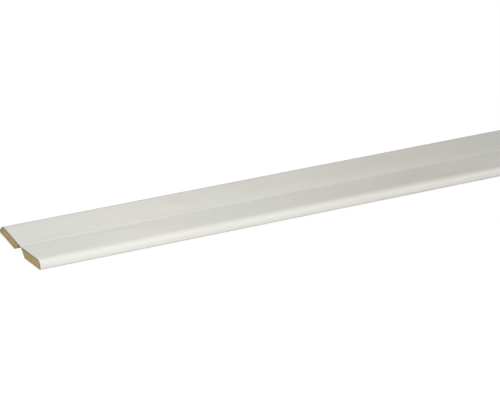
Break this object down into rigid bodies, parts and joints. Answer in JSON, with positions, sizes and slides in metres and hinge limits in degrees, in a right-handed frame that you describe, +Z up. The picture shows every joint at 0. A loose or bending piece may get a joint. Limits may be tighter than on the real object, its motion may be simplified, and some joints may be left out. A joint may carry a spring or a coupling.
{
  "type": "folding corner moulding",
  "caption": "Long foil-wrapped fibreboard corner moulding whose mitred legs fold about the foil to a right angle, to cover an outside corner.",
  "frame": {"origin": "under the middle of the length and of the width, on the surface that the moulding lies on", "axes": "+X along the moulding, +Y from the front leg to the back leg, +Z up, out of the decor face"},
  "size_m": [2.6, 0.0456, 0.0067],
  "materials": {
    "fibreboard": "bare medium-density fibreboard, sawn",
    "decor_foil": "satin printed foil, whitewashed pine decor"
  },
  "bodies": {
    "front_leg": {"front_leg_board": "fibreboard", "decor_foil": "decor_foil"},
    "back_leg": {"back_leg_board": "fibreboard"}
  },
  "joints": [
    {"name": "corner_fold", "type": "hinge", "parent": "front_leg", "child": "back_leg", "pos_m": [0, 0, 0.00443], "axis": [-1, 0, 0], "range_deg": [-8, 102], "deforming": ["decor_foil"]}
  ]
}
